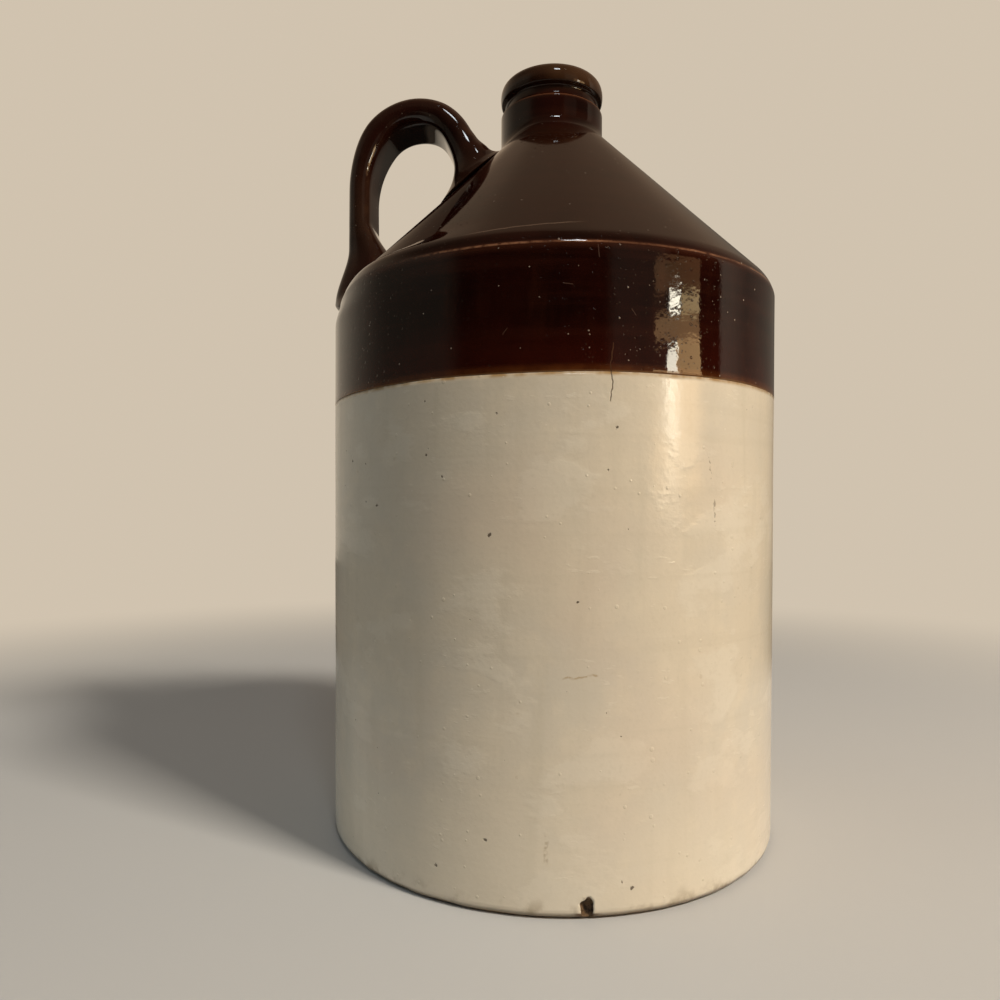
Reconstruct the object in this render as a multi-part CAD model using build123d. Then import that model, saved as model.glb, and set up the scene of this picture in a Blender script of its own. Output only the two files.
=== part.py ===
from build123d import *
from math import cos, radians, sin
import os

# Stoneware crock jug: a straight barrel with a sharp shoulder, a cone, a narrow neck with a tie
# groove under a rolled lip, and one pulled strap handle. Millimetres, +Z up, origin at the centre
# of the foot on the table, handle towards -X.

# Barrel, cone and neck, measured outside on the finished glaze
barrel_radius = 86.7        # at the shoulder
barrel_draft = 1.5          # the foot is this much narrower in radius
barrel_height = 203.6       # table to the shoulder's corner
foot_round = 2.8            # rounding of the foot's edge
shoulder_round = 7.0        # rounding of the shoulder's corner
cone_rise = 68.0            # shoulder's corner to the root of the neck
neck_radius = 20.7
neck_fillet = 4.0           # hollow where the cone turns into the neck
neck_length = 10.9          # root of the neck to the groove's lower edge

# Tie groove and rolled lip
groove_height = 5.4
groove_depth = 1.9
lip_height = 7.6            # groove's upper edge to the top of the lip
lip_setback = 0.5           # the lip starts this much inside the neck's radius
lip_belly = 3.2             # height of the lip's widest ring above the groove
lip_crown = 3.6             # width of the lip's rolled-over edge
mouth_radius = 12.5         # clay bore of the mouth
mouth_round = 2.6           # rounding of the mouth's inner edge

# Clay walls
wall = 8.0                  # barrel
cone_wall = 11.0            # cone, measured level
floor_thickness = 10.0
floor_corner = 10.0         # inner radius between floor and wall
inner_shoulder = 8.0        # inner radius under the shoulder
throat_round = 6.0          # rounding where the cone opens into the neck

# Luted seams between the clay pieces
base_seat = 6.0             # thickness of the floor's rim under the wall
rim_lap = 4.0               # thickness of the floor's upturned rim inside the wall
skirt_drop = 11.5           # shoulder's corner down to the seam on the barrel
collar_gap = 2.4            # root of the neck up to the neck's seam
lute_step = 3.0             # height of the step inside a seam

# Glaze
glaze = 0.5                 # thickness of both outer coats
lining = 0.4                # thickness of the inner slip lining
dip_height = 162.7          # table to the line between cream and brown
bare_foot = 3.4             # unglazed band above the table

# Pulled strap handle, thinner at its lower end
strap_width = 23.0          # at the lower end
strap_thickness = 9.4
strap_round = 3.6           # rounding of the strap's long edges
crown_width = 25.0          # where the strap goes over into its upper root
crown_thickness = 11.6
limb_inset = 8.8            # barrel's radius in to the middle of the outer limb
limb_top = 48.2             # shoulder's corner up to where the limb starts to bend
outer_bend = 40.0           # radius of the first, slow bend
outer_turn = 35.0           # degrees
crown_bend = 19.0           # radius of the bend over the top
crown_turn = 85.0           # degrees, up to the upper root

# Upper root, bent down and pressed on the cone
root_turn = 30.0            # degrees, at the bend over the top
upper_neck = 13.4           # thickness at the end of that turn
upper_waist = 15.6          # thickness half way from there to the cone
upper_waist_width = 26.0
upper_spread = 36.0         # thickness under the cone's surface
upper_spread_width = 36.0
upper_spread_round = 9.0
upper_sink = 10.0           # depth of that spread end, cut off by the cone

# Lower root, pressed on the shoulder; heights are above the shoulder's corner
lower_start = 34.0          # end of the strap
lower_neck_height = 25.0
lower_neck = 11.0           # thickness there
lower_waist_height = 16.0
lower_waist = 17.0
lower_waist_width = 25.0
lower_waist_round = 5.0
lower_waist_flare = 0.8     # how far the waist stands out past the limb
toe_height = 6.0            # the toe's widest ring
toe_inset = 1.2             # barrel's radius in to the toe's widest ring
toe_depth = 28.0
toe_width = 30.0
toe_round = 8.0
toe_tuck = 1.4              # how far the toe draws in again below its widest ring
toe_drop = 8.0              # widest ring down to the end of the toe

# Heights that follow from the sizes above
neck_root_z = barrel_height + cone_rise
groove_z = neck_root_z + neck_length
lip_z = groove_z + groove_height
top_z = lip_z + lip_height
cone_slope = (barrel_radius - neck_radius) / cone_rise
far = 2 * barrel_radius


def corner(face, x, y, radius):
    """The face with its corner at (x, y) rounded."""
    return fillet(face.vertices().sort_by_distance((x, y, 0))[0], radius)


def outline(skin):
    """Half section of the whole jug, filled, with its surface moved in by skin."""
    foot = (barrel_radius - barrel_draft - skin, 0)
    shoulder = (barrel_radius - skin, barrel_height)
    root = (neck_radius - skin, neck_root_z)
    groove = (neck_radius - skin, groove_z)
    hollow_of_groove = (neck_radius - groove_depth - skin, groove_z + groove_height / 2)
    lip = (neck_radius - lip_setback - skin, lip_z)
    belly = (neck_radius - skin, lip_z + lip_belly)
    crown = (neck_radius - lip_crown - skin, top_z - skin)
    face = make_face([
        Line((0, 0), foot),
        Line(foot, shoulder),
        Line(shoulder, root),
        Line(root, groove),
        ThreePointArc(groove, hollow_of_groove, lip),
        ThreePointArc(lip, belly, crown),
        Line(crown, (0, top_z - skin)),
        Line((0, top_z - skin), (0, 0)),
    ])
    face = corner(face, *foot, foot_round)
    face = corner(face, *shoulder, shoulder_round)
    return corner(face, *root, neck_fillet)


def cavity(skin):
    """Half section of the hollow inside, with its surface moved in by skin."""
    bore = mouth_radius - skin
    floor_edge = (barrel_radius - barrel_draft - wall - skin, floor_thickness + skin)
    under_shoulder = (barrel_radius - wall - skin, barrel_height - (cone_wall - wall) / cone_slope)
    throat = (bore, barrel_height + (barrel_radius - cone_wall - mouth_radius) / cone_slope)
    mouth = (bore, top_z - mouth_round)
    rim = (bore + mouth_round, top_z)
    half_way = (bore + mouth_round * (1 - cos(radians(45))), top_z - mouth_round * (1 - sin(radians(45))))
    face = make_face([
        Line((0, floor_thickness + skin), floor_edge),
        Line(floor_edge, under_shoulder),
        Line(under_shoulder, throat),
        Line(throat, mouth),
        ThreePointArc(mouth, half_way, rim),
        Line(rim, (0, top_z)),
        Line((0, top_z), (0, floor_thickness + skin)),
    ])
    face = corner(face, *floor_edge, floor_corner)
    face = corner(face, *under_shoulder, inner_shoulder)
    return corner(face, *throat, throat_round)


def turned(face):
    """A half section turned round the jug's axis."""
    return revolve(Plane.XZ * face, Axis.Z)


def below(seam_z, step_radius, step_height):
    """Everything under a seam: a flat seat outside and a raised step inside step_radius."""
    seat = Cylinder(far, seam_z + far, align=(Align.CENTER, Align.CENTER, Align.MAX))
    step = Cylinder(step_radius, step_height, align=(Align.CENTER, Align.CENTER, Align.MIN))
    return Pos(0, 0, seam_z) * seat + Pos(0, 0, seam_z) * step


def slab(low_z, high_z):
    """Everything between two heights."""
    layer = Cylinder(far, high_z - low_z, align=(Align.CENTER, Align.CENTER, Align.MIN))
    return Pos(0, 0, low_z) * layer


# The clay pot, cut at its luted seams
finished = turned(outline(0))
clay_form = turned(outline(glaze))
hollow = turned(cavity(0))
pot = clay_form - hollow

rim_radius = barrel_radius - barrel_draft - wall + rim_lap
under_wall = below(base_seat, rim_radius, floor_thickness + floor_corner - base_seat)
under_cone = below(barrel_height - skirt_drop, barrel_radius - wall / 2, lute_step)
under_neck = below(neck_root_z + collar_gap, (mouth_radius + neck_radius) / 2, lute_step)
under_lip = below(groove_z, (mouth_radius + neck_radius - groove_depth) / 2, lute_step)

base_disc = pot & under_wall
barrel_wall = (pot & under_cone) - under_wall
shoulder_cone = (pot & under_neck) - under_cone
neck_collar = (pot & under_lip) - under_neck
lip_ring = pot - under_lip

# The strap: up the outer limb and over the top in two bends
limb_radius = barrel_radius - limb_inset
limb = Line((-limb_radius, barrel_height + lower_start), (-limb_radius, barrel_height + limb_top))
slow_bend = JernArc(limb @ 1, limb % 1, outer_bend, -outer_turn)
top_bend = JernArc(slow_bend @ 1, slow_bend % 1, crown_bend, -crown_turn)
root_bend = JernArc(top_bend @ 1, top_bend % 1, crown_bend, -root_turn)


def across(point, way, thickness, width, rounding):
    """Section of the handle at a point of its middle line, square to the way it runs there."""
    plane = Plane((point.X, 0, point.Y), x_dir=(way.Y, 0, -way.X), z_dir=(way.X, 0, way.Y))
    return plane * RectangleRounded(thickness, width, rounding)


strap_start = across(limb @ 0, limb % 0, strap_thickness, strap_width, strap_round)
strap_end = across(top_bend @ 1, top_bend % 1, crown_thickness, crown_width, strap_round)
strap_path = Plane.XZ * Wire([limb, slow_bend, top_bend])
handle_strap = sweep([strap_start, strap_end], strap_path, multisection=True)

# The upper root goes on from the strap, turns down and spreads where it is pressed on the cone
tip = root_bend @ 1
run = root_bend % 1
reach = -tip.X - neck_radius - cone_slope * (neck_root_z - tip.Y)
landing = reach / (run.X - cone_slope * run.Y)
upper_form = loft([
    strap_end,
    across(tip, run, upper_neck, crown_width, strap_round),
    across(tip + run * landing / 2, run, upper_waist, upper_waist_width, strap_round),
    across(tip + run * (landing + upper_sink), run, upper_spread, upper_spread_width, upper_spread_round),
])


def toe_section(height, outer_radius, depth, width, rounding):
    """Level section of the lower root, given by its outer face."""
    middle = Plane.XY.offset(barrel_height + height) * Pos(-outer_radius + depth / 2, 0, 0)
    return middle * RectangleRounded(depth, width, rounding)


limb_face = limb_radius + strap_thickness / 2
waist_face = limb_face + lower_waist_flare
toe_face = barrel_radius - toe_inset
toe_end = toe_height - toe_drop
lower_form = loft([
    toe_section(lower_start, limb_face, strap_thickness, strap_width, strap_round),
    toe_section(lower_neck_height, limb_face, lower_neck, strap_width, strap_round),
    toe_section(lower_waist_height, waist_face, lower_waist, lower_waist_width, lower_waist_round),
    toe_section(toe_height, toe_face, toe_depth, toe_width, toe_round),
    toe_section(toe_end, toe_face - toe_tuck, toe_depth - toe_tuck, toe_width - toe_tuck, toe_round),
])
handle_upper_root = upper_form - clay_form
handle_lower_root = lower_form - clay_form

# The glaze: two coats that meet at the dip line, open where the roots are pressed on the clay
coat = finished - clay_form - hollow
cream_glaze = coat & slab(bare_foot, dip_height)
brown_glaze = (coat & slab(dip_height, top_z + glaze)) - upper_form - lower_form
inner_lining = hollow - turned(cavity(lining))

pieces = {
    "base_disc": base_disc,
    "barrel_wall": barrel_wall,
    "shoulder_cone": shoulder_cone,
    "neck_collar": neck_collar,
    "lip_ring": lip_ring,
    "handle_strap": handle_strap,
    "handle_upper_root": handle_upper_root,
    "handle_lower_root": handle_lower_root,
    "cream_glaze": cream_glaze,
    "brown_glaze": brown_glaze,
    "inner_lining": inner_lining,
}
os.makedirs("parts", exist_ok=True)
for name, piece in pieces.items():
    solids = piece.solids()
    print(name, len(solids), "solids", round(piece.volume), "mm3")
    export_step(Compound(children=solids), f"parts/{name}.step")
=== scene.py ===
from math import atan2, cos, hypot, pi, radians, sin, tan

import bmesh
import bpy
from mathutils import Matrix, Vector, noise


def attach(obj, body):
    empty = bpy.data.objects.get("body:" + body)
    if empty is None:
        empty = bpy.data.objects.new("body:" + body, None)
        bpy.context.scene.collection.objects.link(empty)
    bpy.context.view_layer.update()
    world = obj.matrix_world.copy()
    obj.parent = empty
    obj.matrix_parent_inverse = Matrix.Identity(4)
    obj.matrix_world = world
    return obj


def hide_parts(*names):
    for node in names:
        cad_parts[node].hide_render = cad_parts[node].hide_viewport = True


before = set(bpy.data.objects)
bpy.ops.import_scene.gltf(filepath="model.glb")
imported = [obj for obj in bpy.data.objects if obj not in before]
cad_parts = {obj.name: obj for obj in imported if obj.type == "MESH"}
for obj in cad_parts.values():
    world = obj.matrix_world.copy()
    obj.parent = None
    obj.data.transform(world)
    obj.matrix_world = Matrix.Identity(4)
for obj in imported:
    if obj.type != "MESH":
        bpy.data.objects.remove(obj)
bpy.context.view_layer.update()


# Foot: the thrown floor of the jug with its low upturned rim, in buff stoneware.
# It is left bare where it stands on the shelf, its edge was rounded with a wet sponge, and one flake
# has broken out of the edge at the front.

class Shade:
    """A value, colour or direction on the surface of a piece, as a socket of its material."""

    def __init__(self, tree, socket=None):
        self.tree = tree
        self.socket = socket

    def node(self, kind, sockets=None, output=0, **settings):
        """Adds a node: its settings first, then the values or links of its sockets."""
        made = self.tree.nodes.new("ShaderNode" + kind)
        for name, value in settings.items():
            setattr(made, name, value)
        for key, value in (sockets or {}).items():
            if isinstance(value, Shade):
                self.tree.links.new(value.socket, made.inputs[key])
            else:
                made.inputs[key].default_value = value
        return Shade(self.tree, made.outputs[output])

    def math(self, operation, *values):
        """Adds a Math node on one or two values."""
        return self.node("Math", dict(enumerate(values)), operation=operation)

    def __add__(self, other):
        return self.math("ADD", self, other)

    def __sub__(self, other):
        return self.math("SUBTRACT", self, other)

    def __rsub__(self, other):
        return self.math("SUBTRACT", other, self)

    def __mul__(self, other):
        return self.math("MULTIPLY", self, other)

    def __abs__(self):
        return self.math("ABSOLUTE", self)

    __radd__ = __add__
    __rmul__ = __mul__

    def larger(self, other):
        """The larger of this mask and another."""
        return self.math("MAXIMUM", self, other)

    def step(self, low, high):
        """0 at low and 1 at high, with a soft run between them."""
        return self.node("MapRange", {0: self, 1: low, 2: high}, interpolation_type="SMOOTHSTEP")

    def part(self, axis):
        """One of the three numbers of this place or direction."""
        return self.node("SeparateXYZ", {0: self}, axis)

    def stretched(self, sizes):
        """This place with its three numbers multiplied."""
        return self.node("VectorMath", {0: self, 1: sizes}, operation="MULTIPLY")

    def length(self):
        """How long this direction is."""
        return self.node("VectorMath", {0: self}, 1, operation="LENGTH")

    def kept(self, name):
        """A number that the mesh keeps at each of its points."""
        return self.node("Attribute", output=2, attribute_name=name)

    def between(self, first, second):
        """The first colour where this mask is 0 and the second where it is 1."""
        ends = [end if isinstance(end, Shade) else (*end, 1.0) for end in (first, second)]
        return self.node("Mix", {0: self, 6: ends[0], 7: ends[1]}, 2, data_type="RGBA")

    def under(self, mask, colour):
        """This colour with another one laid over it where the mask is 1."""
        return mask.between(self, colour)

    def cloud(self, size, detail=2.0, stretch=(1.0, 1.0, 1.0)):
        """Soft random patches of about that size in mm, from this place on the piece."""
        sockets = {"Vector": self.stretched(stretch), "Scale": 1000.0 / size, "Detail": detail}
        return self.node("TexNoise", sockets)

    def specks(self, spacing, radius, share):
        """Round specks of a radius in mm, on a share of the cells of a random net."""
        sockets = {"Vector": self, "Scale": 1000.0 / spacing}
        near = self.node("TexVoronoi", sockets)
        pick = self.node("TexVoronoi", sockets, 1)
        chance = self.node("SeparateColor", {0: pick})
        size = self.node("SeparateColor", {0: pick}, 1)
        reach = radius / spacing
        spots = (near + size * (reach * 0.6)).step(reach, reach * 0.6)
        return spots * chance.step(1 - share, 1.01 - share)

    def spot(self, centre, radius):
        """One round mark at a point in mm."""
        metres = [part / 1000 for part in centre]
        away = self.node("VectorMath", {0: self, 1: metres}, 1, operation="DISTANCE")
        return away.step(radius / 1000, radius / 2000)


def finish(name):
    """A new material: itself, the place on the piece, and its shader."""
    material = bpy.data.materials.new(name)
    material.use_nodes = True
    start = Shade(material.node_tree)
    return material, start.node("TexCoord", output=3), material.node_tree.nodes["Principled BSDF"]


def dress(shader, colour, roughness, height, depth):
    """Joins a surface's colour, roughness and relief, whose depth is in mm, to its shader."""
    relief = colour.node("Bump", {"Height": height, "Strength": 1.0, "Distance": depth / 1000})
    for name, made in (("Base Color", colour), ("Roughness", roughness), ("Normal", relief)):
        colour.tree.links.new(made.socket, shader.inputs[name])


flake_at = (11.45, -84.9, 3.5)
flake_radius = 2.9

clay, place, shader = finish("bare_stoneware")
grit = place.specks(2.6, 0.34, 0.35)
rubbed = place.cloud(7.0, 4.0)
fresh_break = place.spot(flake_at, 4.6)
break_colour = place.cloud(1.6, 3.0).step(0.40, 0.62).between((0.014, 0.007, 0.004), (0.130, 0.078, 0.040))
colour = rubbed.step(0.35, 0.7).between((0.30, 0.205, 0.115), (0.205, 0.135, 0.075))
colour = colour.under(place.cloud(1.1, 2.0).step(0.45, 0.75) * 0.5, (0.36, 0.26, 0.16))
colour = colour.under(grit, (0.05, 0.032, 0.02)).under(fresh_break, break_colour)
dress(shader, colour, 0.72 + 0.2 * rubbed, place.cloud(0.8, 4.0) + 0.5 * rubbed - grit, 0.22)


def turn(corners, pitch=1.4, closed=True, sides=384):
    """A piece turned on the wheel, in mm.

    A half section of corners (radius, height, rounding, outside) is rounded, divided and spun.
    """
    bm = bmesh.new()
    outside = bm.verts.layers.float.new("outside")
    verts = [bm.verts.new((radius, 0, height)) for radius, height, _, _ in corners]
    for vert, corner in zip(verts, corners):
        vert[outside] = corner[3]
    for first, second in zip(verts, verts[1:] + verts[:1] * closed):
        bm.edges.new((first, second))
    for vert, corner in zip(verts, corners):
        rounding = corner[2]
        if rounding:
            bmesh.ops.bevel(
                bm, geom=[vert], offset=rounding, offset_type="OFFSET", affect="VERTICES",
                segments=3 if rounding < 0.6 else 7, profile=0.5, material=-1,
            )
    for edge in bm.edges[:]:
        cuts = int(edge.calc_length() / pitch)
        if cuts and all(vert[outside] > 0.5 for vert in edge.verts):
            bmesh.ops.subdivide_edges(bm, edges=[edge], cuts=cuts)
    bmesh.ops.spin(
        bm, geom=bm.verts[:] + bm.edges[:], cent=(0, 0, 0), axis=(0, 0, 1), dvec=(0, 0, 0),
        angle=2 * pi, steps=sides, use_merge=True,
    )
    bmesh.ops.remove_doubles(bm, verts=bm.verts, dist=0.0005)
    bmesh.ops.recalc_face_normals(bm, faces=bm.faces)
    bm.normal_update()
    return bm, outside


def in_metres(name, bm):
    """An object at the origin with a mesh that was shaped in mm."""
    bmesh.ops.scale(bm, vec=(0.001, 0.001, 0.001), verts=bm.verts)
    mesh = bpy.data.meshes.new(name)
    bm.to_mesh(mesh)
    bm.free()
    mesh.shade_smooth()
    made = bpy.data.objects.new(name, mesh)
    bpy.context.scene.collection.objects.link(made)
    return made


def piece(name, bm, material, slot, *nodes):
    """Puts a finished mesh on the jug in place of the plain solids it stands for."""
    made = in_metres(name, bm)
    made.data.materials.append(material)
    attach(made, "root")
    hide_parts(*nodes)
    return made


def waver(vert, size, seed):
    """Smooth random unevenness from -1 to 1, of about that size in mm."""
    return noise.noise(vert.co / size + Vector((seed, 0, 0)))


def break_out(made):
    """Breaks the flake out of the edge of a piece."""
    bm = bmesh.new()
    bmesh.ops.create_icosphere(bm, subdivisions=4, radius=flake_radius)
    for vert in bm.verts:
        vert.co *= 1 + 0.30 * waver(vert, 2.0, 3.1) + 0.14 * waver(vert, 0.8, 6.4)
    bmesh.ops.scale(bm, vec=(0.80, 0.80, 1.18), verts=bm.verts)
    bmesh.ops.translate(bm, vec=flake_at, verts=bm.verts)
    flake = in_metres("flake", bm)
    cut = made.modifiers.new("flake", "BOOLEAN")
    cut.operation = "DIFFERENCE"
    cut.solver = "EXACT"
    cut.object = flake
    whole, chip = made.data, flake.data
    depsgraph = bpy.context.evaluated_depsgraph_get()
    made.data = bpy.data.meshes.new_from_object(made.evaluated_get(depsgraph))
    made.data.name = made.name
    made.modifiers.clear()
    bpy.data.objects.remove(flake)
    bpy.data.meshes.remove(chip)
    bpy.data.meshes.remove(whole)


bm, outside = turn([
    (0, 0.7, 0, 0), (70, 0.7, 2, 0), (77, 0, 1, 0), (84.7, 0, 2.6, 1), (84.74, 6.0, 0, 1),
    (81.2, 6.0, 0, 0), (81.2, 20.0, 0, 0), (77.27, 20.0, 0, 0), (77.2, 10.0, 9.8, 0), (0, 10.0, 0, 0),
], closed=False)
for vert in bm.verts:
    if vert.co.z < 5.9 and hypot(vert.co.x, vert.co.y) > 60:
        vert.co += vert.normal * 0.12 * waver(vert, 9, 5.0)
foot = piece("foot", bm, clay, "stoneware_clay", "base_disc")
break_out(foot)


# Clay walls: the barrel, the neck and the lip under the glaze, thrown and luted in buff stoneware.
# The glaze covers them, so the plain solids stay and only take the bare clay's finish.

def cover(name, material):
    """Gives one of the plain solids its finish."""
    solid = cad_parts[name].data
    solid.materials.clear()
    solid.materials.append(material)


for name in ("barrel_wall", "neck_collar", "lip_ring"):
    cover(name, clay)


# Cone: the clay top between the shoulder and the neck, luted on the barrel and covered by the glaze.
# It sank a little on one side while it was soft, where the handle was pressed on, and its edge gave way
# under the handle's lower end.

barrel_radius, shoulder_height = 86.7, 203.6
cone_sink = 4.0
edge_sink, edge_press = 1.8, 1.7


def ease(part):
    """0 up to 0, 1 from 1 on, and a smooth rise between them."""
    part = min(1.0, max(0.0, part))
    return part * part * (3 - 2 * part)


def sunk(point):
    """How far in mm the cone has sunk next to the handle, and how far its edge is pressed in there."""
    aside = abs(atan2(point.y, -point.x))
    inward = ease((86 - hypot(point.x, point.y)) / 8)
    cone = ease((1.4 - aside) / 0.9) * inward * ease((281 - point.z) / 9)
    edge = ease((0.85 - aside) / 0.5) * ease((point.z - 191) / 11) * (1 - inward)
    return cone_sink * cone + edge_sink * edge, edge_press * edge


def settle(vert):
    """Lets a point of the soft cone sink and its edge give way."""
    down, pressed = sunk(vert.co)
    given = 1 - pressed / hypot(vert.co.x, vert.co.y)
    vert.co = vert.co.x * given, vert.co.y * given, vert.co.z - down


bm, outside = turn([
    (86.1, 192.1, 0, 1), (86.12, 201.0, 0, 1), (85.3, 203.9, 1.5, 1), (20.1, 271.2, 2.6, 1),
    (20.1, 274.0, 0, 1), (16.6, 274.0, 0, 0), (16.6, 277.0, 0, 0), (12.5, 277.0, 0, 0),
    (12.5, 268.7, 4, 0), (78.7, 200.5, 6, 0), (78.7, 195.1, 0, 0), (82.7, 195.1, 0, 0), (82.7, 192.1, 0, 0),
], pitch=6.0, sides=120)
for vert in bm.verts:
    if vert[outside] > 0.5:
        settle(vert)
cone = piece("cone", bm, clay, "stoneware_clay", "shoulder_cone")


# Slip lining: a thin wash of dark slip poured into the jug and out again, so the inside holds liquid.
# Only its smooth edge in the mouth shows, with the streaks of the pouring.

lining, place, shader = finish("slip_lining")
runs = place.cloud(5.0, 3.0, (1.0, 1.0, 0.12))
colour = runs.step(0.4, 0.7).between((0.026, 0.011, 0.006), (0.060, 0.026, 0.012))
colour = colour.under(place.specks(5.0, 0.4, 0.25), (0.12, 0.07, 0.04))
dress(shader, colour, 0.22 + 0.25 * runs, place.cloud(3.0, 3.0) + 0.6 * runs, 0.12)
cover("inner_lining", lining)


# Cream coat: the feldspathic glaze on the lower barrel, poured over the raw clay and fired hard.
# It is an uneven warm ivory with clouds, pinholes, a tan seam at the dip line and a dirty foot.

dip_height = 162.7
unrolled_radius = 86.3


def dip(angle):
    """Height in mm of the line where the two glazes meet; the jug was dipped a little askew."""
    return 162.45 + 1.0 * sin(angle) + 0.16 * sin(3 * angle + 0.8) + 0.07 * sin(11 * angle)


def follow_dip(bm, reach=14.0):
    """Bends the rows next to the dip line along it, and keeps each point's height above it."""
    above = bm.verts.layers.float.new("above_dip")
    for vert in bm.verts:
        line = dip(atan2(vert.co.x, -vert.co.y))
        vert.co.z += (line - dip_height) * ease(1 - abs(vert.co.z - dip_height) / reach)
        vert[above] = vert.co.z - line


def throwing_ring(vert):
    """The shallow rings that the fingers left on the wall, from -1 to 1."""
    return noise.noise(Vector((vert.co.x / 90, vert.co.y / 90, vert.co.z / 8)))


bm, outside = turn([
    (84.45, 0.95, 0.2, 1), (85.20, 2.5, 0.9, 1), (86.40, dip_height, 0, 1), (85.95, dip_height, 0, 0),
    (84.80, 3.4, 0, 0), (84.10, 0.95, 0, 0),
])
for vert in bm.verts:
    if vert[outside] > 0.5:
        uneven = 0.10 * waver(vert, 38, 1.0) + 0.03 * throwing_ring(vert) + 0.012 * waver(vert, 11, 2.0)
        vert.co += vert.normal * uneven
    if vert.co.z < 6:
        vert.co.z += 0.35 * waver(vert, 7, 8.0) * (1 - vert.co.z / 6)
follow_dip(bm)


def unrolled(place):
    """Distance round the barrel from its front and height, both in mm."""
    across = place.part(0)
    towards = place.part(1) * -1.0
    return across.math("ARCTAN2", across, towards) * unrolled_radius, place.part(2) * 1000.0


def stroke(arc, up, start, end, width):
    """A thin mark drawn on the unrolled wall from one point to another."""
    run, climb = end[0] - start[0], end[1] - start[1]
    length = hypot(run, climb)
    right, rise = arc - start[0], up - start[1]
    along = right * (run / length) + rise * (climb / length)
    aside = abs(right * (climb / length) - rise * (run / length))
    return aside.step(width, width * 0.3) * abs(along - length / 2).step(length / 2 + width, length / 2 - width)


def hairline(place, arc, up):
    """The firing crack that runs down from the brown glaze into the cream."""
    bent = arc + 2.4 * (place.cloud(6.0, 3.0) - 0.5)
    return stroke(bent, up, (18.4, 171.5), (18.2, 154.0), 0.27)


cream, place, shader = finish("cream_glaze")
arc, up = unrolled(place)
below = place.kept("above_dip") * -1.0

# clouds, streaks and rings in the ivory, and painted light towards the foot
haze = place.cloud(46.0, 3.0)
mottle = place.cloud(9.0, 4.0)
grain = place.cloud(1.3, 3.0)
rings = place.cloud(3.2, 2.0, (0.03, 0.03, 1.0))
drawn = place.cloud(6.0, 3.0, (1.0, 1.0, 0.10))
lakes = place.cloud(15.0, 5.0, (0.6, 0.6, 1.0)).step(0.54, 0.62)
pale = place.cloud(2.0, 3.0, (0.40, 0.40, 1.0)).step(0.60, 0.70) * place.cloud(18.0).step(0.50, 0.64)
colour = haze.step(0.32, 0.70).between((0.665, 0.590, 0.470), (0.615, 0.562, 0.468))
colour = colour.under(mottle.step(0.45, 0.70) * 0.50, (0.705, 0.625, 0.495))
colour = colour.under(drawn.step(0.50, 0.75) * 0.36, (0.570, 0.510, 0.400))
colour = colour.under(lakes * 0.45, (0.725, 0.665, 0.555))
colour = colour.under(place.cloud(60.0, 2.0).step(0.50, 0.70) * 0.35, (0.660, 0.545, 0.430))
colour = colour.under(grain.step(0.50, 0.80) * 0.22, (0.520, 0.455, 0.350))
colour = colour.under(rings.step(0.52, 0.75) * 0.18, (0.555, 0.490, 0.378))
colour = colour.under(pale * 0.30, (0.760, 0.700, 0.590))
# paler towards the foot: painted light bounced up from the floor
colour = colour.under(up.step(46.0, 12.0) * 0.35, (0.760, 0.690, 0.560))
tan_seam = below.step(1.6, 0.3) * (0.45 + 0.55 * place.cloud(4.0).step(0.3, 0.7))
colour = colour.under(tan_seam, (0.330, 0.205, 0.090))

# pinholes with ragged rims: scattered small ones, and the larger ones at their places
wild = place.node("TexNoise", {"Vector": place, "Scale": 900.0, "Detail": 2.0}, 1)
ragged = place.node("VectorMath", {0: wild, 1: [0.0014] * 3, 2: place}, operation="MULTIPLY_ADD")
ragged = ragged.node("VectorMath", {0: ragged, 1: [0.0007] * 3}, operation="SUBTRACT")
pits = ragged.specks(6.0, 0.36, 0.45)
for x, y, z, radius in (
    (-68.3, -52.6, 138.2, 0.65), (-57.0, -64.5, 122.9, 0.75), (-38.7, -77.0, 138.5, 0.6),
    (-33.3, -79.5, 131.6, 0.5), (-18.0, -84.1, 114.0, 0.85), (-16.0, -84.8, 150.6, 0.5),
    (19.8, -83.9, 146.1, 0.65), (8.4, -85.5, 94.4, 0.65), (-19.1, -83.2, 22.3, 0.8),
    (-34.7, -77.9, 11.8, 0.65), (-39.1, -77.0, 155.4, 0.5), (17.2, -84.4, 133.5, 0.5),
    (21.8, -82.4, 10.9, 0.55), (24.8, -81.6, 8.8, 0.75),
):
    pits = pits.larger(ragged.spot((x, y, z), radius * 0.88))

# firing crack, dotted marks, scuff, drip, soil, pale specks, and a painted shade along the bottom edge
crack = hairline(place, arc, up)
dotted = place.cloud(1.8, 2.0).step(0.50, 0.62) * 0.6
for start, end, width in (((53.8, 139.0), (54.6, 131.5), 0.65), ((56.2, 126.0), (56.6, 117.0), 0.6)):
    crack = crack.larger(stroke(arc + 1.5 * grain, up, start, end, width) * dotted)
scuffed = up + 4.0 * (place.cloud(5.0) - 0.5)
scuff = stroke(arc, scuffed, (4.0, 71.6), (14.5, 72.2), 0.45) * grain.step(0.30, 0.55)
drip = stroke(arc + 2.0 * mottle, up, (0.4, 25.0), (0.4, 17.0), 0.9) * grain.step(0.35, 0.60)
soil = up.step(8.0, 1.2) * place.cloud(6.0, 5.0).step(0.50, 0.72)
colour = colour.under(ragged.specks(8.0, 0.85, 0.45) * 0.22, (0.42, 0.32, 0.19))
# pale specks: pale grit in the glaze, and painted glints
colour = colour.under(place.specks(7.0, 0.60, 0.35) * 0.45, (0.800, 0.750, 0.650))
colour = colour.under(scuff * 0.6, (0.380, 0.270, 0.140)).under(drip * 0.45, (0.33, 0.24, 0.13))
colour = colour.under(pits * 0.88, (0.085, 0.062, 0.042)).under(crack * 0.80, (0.075, 0.052, 0.034))
colour = colour.under(soil * 0.6, (0.270, 0.200, 0.110))
# darker along the very bottom edge: painted shade where the jug stands on the floor
colour = colour.under(up.step(2.6, 1.2) * 0.75, (0.130, 0.092, 0.052))

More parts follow.
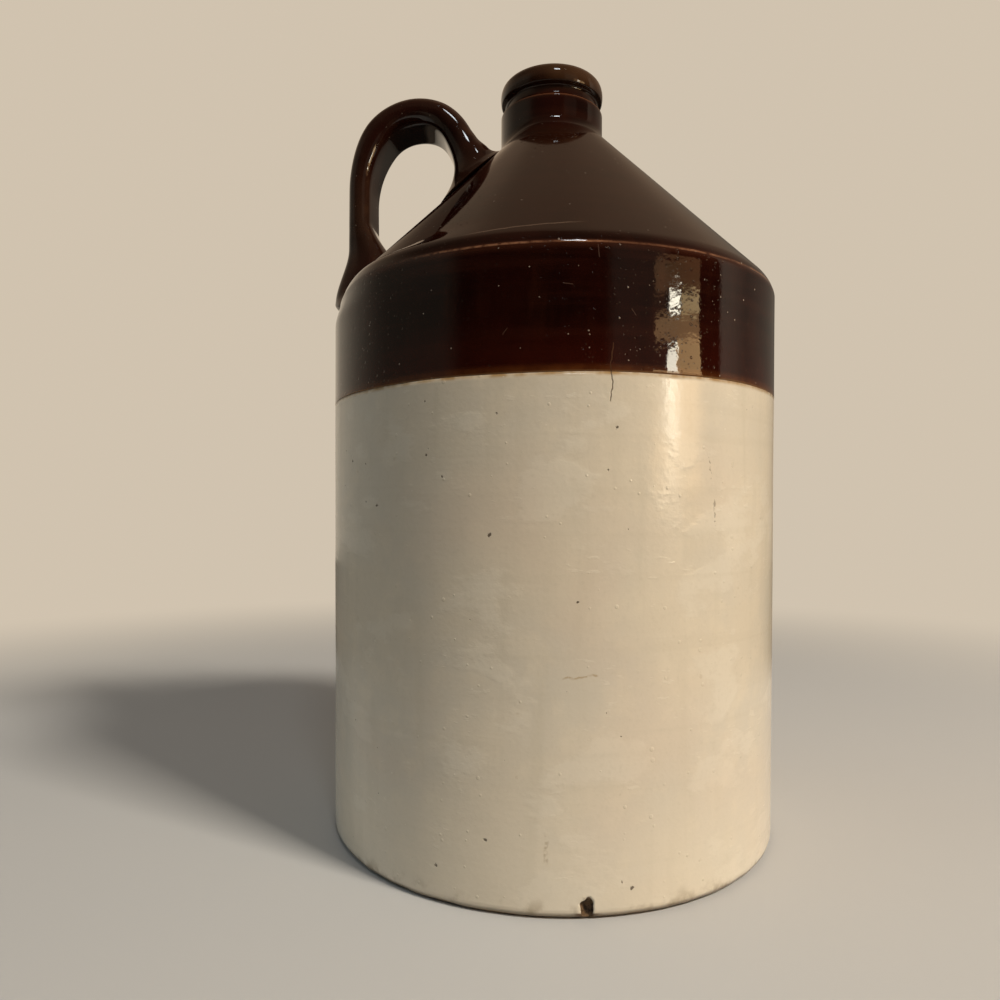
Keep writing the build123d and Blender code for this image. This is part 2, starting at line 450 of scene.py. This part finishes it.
# the flake's broken face, which lies inside the wall's surface
inside = 85.15 + 0.0074 * up - place.stretched((1000.0, 1000.0, 0.0)).length()
broken = inside.step(0.10, 0.30) * place.spot(flake_at, 5.6)
colour = colour.under(broken, (0.120, 0.074, 0.040))

relief = 0.70 * mottle + 0.40 * grain + 0.30 * pale + 0.50 * lakes + 0.35 * rings - pits * 1.5 - crack * 0.8
relief = relief + 0.9 * place.cloud(20.0) + 0.9 * place.specks(4.0, 0.8, 0.4)
dress(shader, colour, 0.11 + 0.08 * haze + 0.06 * grain + 0.4 * broken, relief, 0.10)
cream_coat = piece("cream_coat", bm, cream, "cream_glaze", "cream_glaze")
break_out(cream_coat)


# Brown coat: the iron slip glaze on the top of the jug, dipped in it upside down as far as the dip line.
# It runs nearly black where it is thick and breaks to rust on the shoulder, the neck's edge and the lip.

bm, outside = turn([
    (86.44, dip_height, 0.3, 1), (86.66, 201.3, 0.45, 1), (85.30, 204.90, 1.9, 1), (20.7, 271.6, 2.6, 1),
    (20.7, 282.3, 0.45, 1), (18.9, 283.3, 0.7, 1), (18.55, 286.9, 0.8, 1), (20.55, 287.6, 0.45, 1),
    (21.0, 290.6, 1.4, 1), (20.1, 294.2, 1.6, 1), (17.6, 295.5, 1.3, 1), (15.1, 295.5, 0, 1),
    (15.1, 295.05, 0, 0), (17.3, 295.05, 0, 0), (19.55, 293.95, 0, 0), (20.25, 291.0, 0, 0),
    (19.75, 288.0, 0, 0), (18.3, 286.3, 0, 0), (18.45, 283.6, 0, 0), (20.25, 282.2, 0, 0),
    (20.25, 271.3, 0, 0), (85.15, 204.0, 0, 0), (86.23, 201.0, 0, 0), (86.17, 192.0, 0, 0),
    (85.95, dip_height, 0, 0),
])
for vert in bm.verts:
    if vert[outside] > 0.5:
        rolled = max(0.0, 1 - abs(vert.co.z - 163.5) / 1.5)
        calm = 1 - 0.85 * ease((vert.co.z - 262) / 8)
        uneven = 0.05 * waver(vert, 34, 4.0) + 0.014 * throwing_ring(vert) + 0.006 * waver(vert, 9, 6.0)
        vert.co += vert.normal * (calm * uneven + 0.05 * rolled)
    settle(vert)
follow_dip(bm)


def iron_glaze(name, layers):
    """The brown slip glaze, with layers of masks and colours where it has run thin, cracked or broken."""
    material, place, shader = finish(name)
    up = place.part(2) * 1000.0
    rough = 0.3 + 0.7 * up.step(206.0, 203.0)
    thick = place.cloud(26.0, 4.0).step(0.30, 0.70)
    runs = place.cloud(6.0, 3.0, (1.0, 1.0, 0.22))
    rings = place.cloud(4.0, 3.0, (0.06, 0.06, 1.0))
    bubbles_with_painted_glints = place.specks(3.0, 0.44, 0.32)
    pocks = place.specks(2.6, 0.60, 0.45)
    colour = thick.between((0.0045, 0.0008, 0.0004), (0.0140, 0.0018, 0.0008))
    colour = colour.under(rings.step(0.45, 0.70) * 0.50, (0.0230, 0.0050, 0.0022))
    colour = colour.under(runs.step(0.50, 0.85) * 0.40, (0.0330, 0.0080, 0.0032))
    for mask, tint in layers(place):
        colour = colour.under(mask, tint)
    # pale specks on the bubbles: pale grit in the glaze, and painted glints
    colour = colour.under(bubbles_with_painted_glints * rough * 0.75, (0.330, 0.270, 0.215))
    orange_peel = 0.20 * place.cloud(8.0) + 0.13 * place.cloud(3.6) + 0.13 * place.cloud(1.7)
    orange_peel = orange_peel + 0.30 * place.specks(1.3, 0.34, 0.6)
    relief = (orange_peel + 0.8 * bubbles_with_painted_glints - 0.6 * pocks + 0.1 * runs) * rough
    dress(shader, colour, 0.025 + 0.04 * runs + 0.3 * bubbles_with_painted_glints * rough, relief, 0.12)
    return material


def body_layers(place):
    """Brown cone, left out on the handle's side so the cone stays near-black there as a painted shade and reflection
    of the handle; lip, honey edge at the dip line, broken lines on the shoulder and neck, and marks.
    """
    arc, up = unrolled(place)
    above = place.kept("above_dip")
    fret = place.cloud(3.0, 3.0)
    patchy = place.cloud(17.0, 4.0).step(0.35, 0.65)

    # the cone's brown stops short of the handle's side, leaving a near-black painted shade and reflection of the
    # handle
    cone_clear_of_painted_handle_shade = up.step(203.0, 207.0) * up.step(272.0, 264.0) * arc.step(-40.0, -18.0) * arc.step(262.0, 180.0)
    cone = cone_clear_of_painted_handle_shade * (0.60 + 0.15 * patchy)
    lip = up.step(284.0, 290.0) * (0.30 + 0.4 * patchy)
    thin = above.step(20.0, 4.0) * (0.35 + 0.35 * patchy)
    honey = above.step(3.2, 0.4) * (0.55 + 0.45 * fret.step(0.3, 0.7))
    seam = above.step(0.75, 0.15)

    shoulder = up - 201.45 - arc * 0.012
    glow = (shoulder * -1.0).step(3.0, 0.2) * shoulder.step(1.0, 0.3)
    glow = glow * (0.6 + 0.4 * patchy) * abs(arc).step(180.0, 120.0)
    line = abs(shoulder + 0.35 * fret - 0.17).step(0.46, 0.14) * (0.30 + 0.70 * patchy)
    line = line * place.cloud(2.2, 3.0).step(0.25, 0.55) * arc.step(-62.0, -30.0) * arc.step(170.0, 110.0)
    neck = abs(up - 282.3).step(0.9, 0.1) * 0.6
    lute = abs(up - 208.9 - arc * 0.083 + 0.5 * fret).step(0.34, 0.1) * abs(arc + 9.0).step(22.0, 12.0)

    crack = hairline(place, arc, up)
    scratches = stroke(arc, up, (14.0, 200.6), (14.4, 196.8), 0.24)
    for start, end in (
        ((-14.0, 174.0), (-12.5, 176.0)), ((4.0, 189.0), (7.0, 188.6)), ((26.5, 180.0), (25.0, 182.0)),
    ):
        scratches = scratches.larger(stroke(arc + fret, up, start, end, 0.20))
    return [
        (cone, (0.0150, 0.0048, 0.0021)),
        (lip, (0.0600, 0.0280, 0.0125)),
        (thin, (0.0300, 0.0034, 0.0012)),
        (honey, (0.0820, 0.0230, 0.0055)),
        (seam * 0.6, (0.200, 0.105, 0.040)),
        (glow * 0.8, (0.0480, 0.0135, 0.0065)),
        (line * 0.85, (0.270, 0.125, 0.066)),
        (neck, (0.115, 0.043, 0.019)),
        (lute * 0.35, (0.200, 0.130, 0.090)),
        (scratches * 0.22, (0.190, 0.120, 0.090)),
        (crack * 0.9, (0.0600, 0.0270, 0.0130)),
    ]


brown = iron_glaze("brown_glaze", body_layers)
brown_coat = piece("brown_coat", bm, brown, "brown_glaze", "brown_glaze")


# Handle: a strap of clay pulled by hand, bent over and pressed on the cone and the shoulder while soft.
# Its ends are smeared out into the wall. On its side the cone is left near-black, a painted shade and reflection of
# the handle.

strap_thickness, strap_width = 9.1, 23.0
limb_outer, limb_inner, limb_height = 82.6, 73.5, 237.6
slow_bend, tight_bend = 40, 19
cone_run, cone_rise = 66.0, 68.0


def skin_gap(point):
    """Distance in mm of a point outside the barrel and the cone, and the way straight out from them."""
    radius = hypot(point.x, point.y)
    way = Vector((point.x / radius, point.y / radius, 0))
    lean = atan2(cone_run, cone_rise)
    cone_out = way * cos(lean) + Vector((0, 0, sin(lean)))
    down, pressed = sunk(point)
    barrel = radius + pressed - barrel_radius
    cone = barrel * cos(lean) + (point.z + down - shoulder_height) * sin(lean)
    return (barrel, way) if barrel > cone else (cone, cone_out)


def section(outer, inner, width):
    """Place of a section of the strap, from its two edges in the upright plane and its width."""
    out = Vector((outer[0] - inner[0], 0, outer[1] - inner[1]))
    middle = Vector(((outer[0] + inner[0]) / 2, 0, (outer[1] + inner[1]) / 2))
    size = Matrix.Diagonal((out.length / strap_thickness, width / strap_width, 1, 1))
    return Matrix.Translation(middle) @ Matrix.Rotation(atan2(out.z, -out.x), 4, "Y") @ size


def level(outer, inner, height, width):
    """A level section of the strap."""
    return section((-outer, height), (-inner, height), width)


def bent(centre, radius, bend, outer, inner, width):
    """A section on a bend of the middle line, that far outside and inside it."""
    way = Vector((-cos(bend), sin(bend)))
    return section(centre + way * (radius + outer), centre + way * (radius - inner), width)


# the strap's section: a flat oblong with rounded edges and slightly crowned faces
bm = bmesh.new()
heart = bm.verts.layers.float_vector.new("heart")
edge_of = bm.verts.layers.float.new("edge")
bmesh.ops.create_grid(bm, x_segments=1, y_segments=1, size=1)
bmesh.ops.scale(bm, vec=(strap_thickness / 2, strap_width / 2, 1), verts=bm.verts)
bmesh.ops.bevel(
    bm, geom=bm.verts[:], offset=4.3, offset_type="OFFSET", affect="VERTICES", segments=6, profile=0.5,
    material=-1,
)
for edge in bm.edges[:]:
    cuts = int(edge.calc_length() / 2.8)
    if cuts:
        bmesh.ops.subdivide_edges(bm, edges=[edge], cuts=cuts)
for vert in bm.verts:
    turned = atan2(max(0.0, abs(vert.co.y) - 7.2), max(0.0, abs(vert.co.x) - 0.25))
    vert[edge_of] = 1 - abs(turned - pi / 4) / (pi / 4)
    vert.co.x *= 1.02 - 0.07 * (vert.co.y / 11.5) ** 2

limb = level(limb_outer, limb_inner, limb_height, strap_width)
bmesh.ops.transform(bm, matrix=limb, space=Matrix.Identity(4), verts=bm.verts)
for vert in bm.verts:
    vert[heart] = limb.translation
first_face = bm.faces[:][0]
first_face.normal_update()

# its upper way: up the limb, over the slow and the tight bend, and down to the cone
upper = [level(limb_outer, limb_inner, limb_height + 2.84 * k, strap_width) for k in range(1, 6)]
side_centre = Vector((-37.9, 251.8))
for k in range(1, 11):
    outer = 4.7 + 1.2 * ease((k - 2) / 8)
    inner = 4.45 + 0.045 * k
    upper.append(bent(side_centre, slow_bend, radians(3.5 * k), outer, inner, strap_width + 0.08 * k))
crown_centre = side_centre + (slow_bend - tight_bend) * Vector((-cos(radians(35)), sin(radians(35))))
for k in range(1, 24):
    over = min(1, k / 17)
    outer = 5.9 - 0.6 * sin(pi * over) + 0.5 * over
    inner = 4.9 - 0.5 * ease((k - 9) / 9) + 0.1 * max(0, k - 18)
    upper.append(bent(crown_centre, tight_bend, radians(35 + 5 * k), outer, inner, 23.8 + 1.2 * over))
away, run = Vector((-cos(radians(150)), sin(radians(150)))), Vector((0.5, -0.866))
tip = crown_centre + away * tight_bend
for k in range(1, 25):
    outer = 6.4 + 0.1 * (k - 1) + 1.2 * ease((k - 6) / 6)
    inner = 4.9 + 0.06 * k + 0.004 * k ** 2.5 + 0.02 * max(0, k - 10) ** 2
    outer_edge = tip + run * min(k, 16 + 0.2 * (k - 16)) + away * outer
    upper.append(section(outer_edge, tip + run * k - away * inner, 25.0 + 0.014 * k * k))

# its lower way: down the limb, flared, and over the shoulder's edge
lower = []
for k in range(1, 39):
    rise = 34.0 - k
    outer = limb_outer + 4.6 * ease((24 - rise) / 22) - 0.22 * max(0.0, 0.5 - rise) ** 2
    inner = limb_inner - 9.5 * ease((36 - rise) / 20) - 3 * ease((14 - rise) / 14)
    lower.append(level(outer, inner, shoulder_height + rise, strap_width + 0.0100 * k * k))


def pull(face, old, new, keep):
    """Draws the strap on by one section, from its last place to the next."""
    drawn = bmesh.ops.extrude_face_region(bm, geom=[face])["geom"]
    if not keep:
        bmesh.ops.delete(bm, geom=[face], context="FACES_ONLY")
    verts = [part for part in drawn if isinstance(part, bmesh.types.BMVert)]
    bmesh.ops.transform(bm, matrix=new @ old.inverted(), space=Matrix.Identity(4), verts=verts)
    for vert in verts:
        vert[heart] = new.translation
    return next(part for part in drawn if isinstance(part, bmesh.types.BMFace))


for sections in (upper, lower):
    face, last = first_face, limb
    for ahead in sections:
        face, last = pull(face, last, ahead, ahead is upper[0]), ahead
bmesh.ops.recalc_face_normals(bm, faces=bm.faces)
bm.normal_update()

# hollow the flare's inner corners, smear both ends out on the wall, and leave the marks of the hand
for vert in bm.verts:
    inner = ease((vert.co.x - vert[heart].x) / 8) * ease((238 - vert.co.z) / 16) * ease((-50 - vert.co.x) / 8)
    vert.co.x -= 4.5 * inner * (vert.co.y / 11.5) ** 2
    gap, way = skin_gap(vert.co)
    close = min(1.0, max(0.0, 1 - gap / 4.5))
    aside = (vert.co - Vector(vert[heart])).normalized()
    aside -= way * aside.dot(way)
    vert.co += aside * 3.2 * close * close
    if gap > -2:
        vert.co += vert.normal * (0.14 * waver(vert, 15, 7.0) + 0.03 * waver(vert, 5, 9.0))


def strap_layers(place):
    """Brown where the glaze has run off the strap, and a rusty line along its edges."""
    up = place.part(2)
    fret = place.cloud(5.0, 3.0)
    thin = 0.30 + 0.5 * fret.step(0.3, 0.8)
    limb = up.step(0.268, 0.235) * up.step(0.216, 0.246) * 0.5
    worn = place.kept("edge").step(0.35, 0.95) * fret.step(0.40, 0.75)
    return [
        (thin, (0.0190, 0.0072, 0.0044)),
        (limb, (0.0440, 0.0215, 0.0120)),
        (worn * 0.30, (0.0600, 0.0240, 0.0100)),
    ]


strap_glaze = iron_glaze("handle_glaze", strap_layers)
strap_nodes = ("handle_strap", "handle_upper_root", "handle_lower_root")
handle = piece("handle", bm, strap_glaze, "brown_glaze", *strap_nodes)
smooth = handle.modifiers.new("smooth", "SUBSURF")
smooth.levels = 1
smooth.render_levels = 1


# Stage: a plain pale floor that fades into a plain pale background, the light and the camera.
# A soft key lamp, a small ceiling lamp and a cool fill light the jug in a dim, warm room, and the panes
# and bulbs of a window stand to the right for the glaze to mirror.

backdrop = (0.635, 0.545, 0.430, 1)

bm = bmesh.new()
bmesh.ops.create_circle(bm, cap_ends=True, radius=1.6, segments=96)
mesh = bpy.data.meshes.new("floor")
bm.to_mesh(mesh)
bm.free()
floor = bpy.data.objects.new("floor", mesh)
bpy.context.scene.collection.objects.link(floor)

linen, place, shader = finish("pale_floor")
shader.inputs["Roughness"].default_value = 0.9
shader.inputs["Specular IOR Level"].default_value = 0.1
away = place.length()
seen = place.node("LightPath")
# beyond the jug, rays other than the camera's see the floor dark, a painted shade of the dim room, and paler on the
# left, a painted lit wall
far_floor_painted_room = place.part(0).step(-0.20, -0.34).between((0.03, 0.027, 0.024), (0.24, 0.20, 0.16))
cloth = (away.step(0.28, 0.42) * (1 - seen)).between((0.505, 0.502, 0.495), far_floor_painted_room)
linen.node_tree.links.new(cloth.socket, shader.inputs["Base Color"])
lit_cloth = Shade(linen.node_tree, shader.outputs[0])
plain = place.node("Emission", {0: backdrop})
blend = place.node("MixShader", {0: away.step(0.28, 0.75) * seen, 1: lit_cloth, 2: plain})
linen.node_tree.links.new(blend.socket, linen.node_tree.nodes["Material Output"].inputs["Surface"])
mesh.materials.append(linen)

world = bpy.data.worlds.new("room")
bpy.context.scene.world = world
world.use_nodes = True
start = Shade(world.node_tree)
look = start.node("TexCoord")
towards = look.part(1) * -1.0
rise = look.part(2)
bearing = look.math("ARCTAN2", look.part(0), towards)
left = 0.125 * bearing.step(-0.72, -0.95) + 0.36 * bearing.step(-1.5, -2.4) + 0.10 * bearing.step(-2.42, -2.6)
front = 0.15 * bearing.step(0.42, 0.56) * bearing.step(1.05, 0.95)
right = bearing.step(1.53, 1.58) * (0.08 + 0.35 * bearing.step(1.95, 1.55) + 0.09 * bearing.step(2.85, 2.6))
walls = 0.015 + left + front + right
ceiling = rise.step(0.28, 0.70)
above = 0.085 + 0.115 * abs(bearing).step(1.5, 2.3) + 0.06 * bearing.step(0.5, 1.7) * bearing.step(3.05, 2.3)
left_shelf = 0.12 * bearing.step(-0.5, -1.2) * rise.step(0.25, 0.40) * rise.step(0.75, 0.60)
back_left = 0.07 * bearing.step(-2.2, -2.5) * bearing.step(-3.1, -2.9) * rise.step(0.40, 0.60) * rise.step(0.92, 0.82)
back_right = 0.05 * bearing.step(2.4, 2.7) * bearing.step(3.12, 2.95) * rise.step(0.30, 0.48) * rise.step(0.78, 0.60)
shelves = left_shelf + back_left + back_right
glow = (walls * (1 - ceiling) + above * ceiling + shelves) * rise.step(-0.35, -0.02)
tint = ceiling.between((1.0, 0.84, 0.64), (1.0, 0.70, 0.46))
room = start.node("Background", {0: tint, 1: glow})
plain = start.node("Background", {0: backdrop, 1: 1.0})
mixed = start.node("MixShader", {0: start.node("LightPath"), 1: room, 2: plain})
world.node_tree.links.new(mixed.socket, world.node_tree.nodes["World Output"].inputs["Surface"])

lit_side = Vector((0.041, -0.076, 0.180))


def lamp(name, turned, rise, away, wide, tall, glow, colour, mirrored=True):
    """A soft rectangular light, seen from the jug's lit side.

    Degrees round from the camera's side and up, metres away, degrees wide and tall, and its glow.
    """
    data = bpy.data.lights.new(name, "AREA")
    data.shape = "RECTANGLE"
    data.size = 2 * away * tan(radians(wide / 2))
    data.size_y = 2 * away * tan(radians(tall / 2))
    data.energy = glow * pi * data.size * data.size_y
    data.color = colour
    made = bpy.data.objects.new(name, data)
    round_it, up = radians(turned), radians(rise)
    out = Vector((sin(round_it) * cos(up), -cos(round_it) * cos(up), sin(up)))
    made.matrix_world = Matrix.Translation(lit_side + out * away) @ out.to_track_quat("Z", "Y").to_matrix().to_4x4()
    made.visible_camera = False
    made.visible_glossy = mirrored
    bpy.context.scene.collection.objects.link(made)


lamp("key_lamp", 56.5, 44.0, 1.82, 11.5, 9.4, 98.0, (1.0, 0.92, 0.80), mirrored=False)
lamp("ceiling_lamp", 12.7, 53.8, 1.63, 9.0, 7.0, 18.0, (0.90, 0.96, 1.0))
lamp("cool_fill", -90.0, 24.0, 1.6, 60.0, 46.0, 0.55, (0.52, 0.82, 1.0), mirrored=False)
lamp("window_top", 62.5, 17.4, 1.01, 25.0, 3.0, 0.9, (1.0, 0.50, 0.22))
lamp("window_upper", 69.9, 14.7, 1.0, 10.6, 1.8, 4.8, (1.0, 0.70, 0.35))
lamp("window_middle", 62.6, 12.7, 1.01, 24.6, 2.3, 2.5, (1.0, 0.57, 0.26))
lamp("window_lower", 69.0, 7.4, 1.0, 13.6, 8.4, 5.0, (1.0, 0.62, 0.28))
lamp("window_foot", 62.5, 0.5, 1.01, 28.0, 6.5, 4.0, (1.0, 0.62, 0.28))
lamp("bulb_upper", 60.8, 15.0, 0.99, 5.8, 1.5, 24.0, (1.0, 0.92, 0.74))
lamp("bulb_lower", 59.6, 7.2, 0.99, 5.6, 7.4, 17.0, (1.0, 0.92, 0.74))
lamp("bulb_foot", 60.0, 0.0, 0.99, 7.0, 6.4, 5.5, (1.0, 0.88, 0.66))

camera_data = bpy.data.cameras.new("camera")
camera_data.lens = 27.036
camera_data.sensor_width = 36.0
camera_data.sensor_fit = "HORIZONTAL"
camera_data.clip_start = 0.01
camera = bpy.data.objects.new("camera", camera_data)
camera.matrix_world = Matrix((
    (0.99778118, -0.00370958, 0.06647529, 0.0),
    (0.06643052, -0.01111133, -0.99772918, -0.30919),
    (0.00443978, 0.99993139, -0.01084025, 0.12207),
    (0, 0, 0, 1),
))
bpy.context.scene.collection.objects.link(camera)
bpy.context.scene.camera = camera
bpy.context.scene.view_settings.view_transform = "Standard"
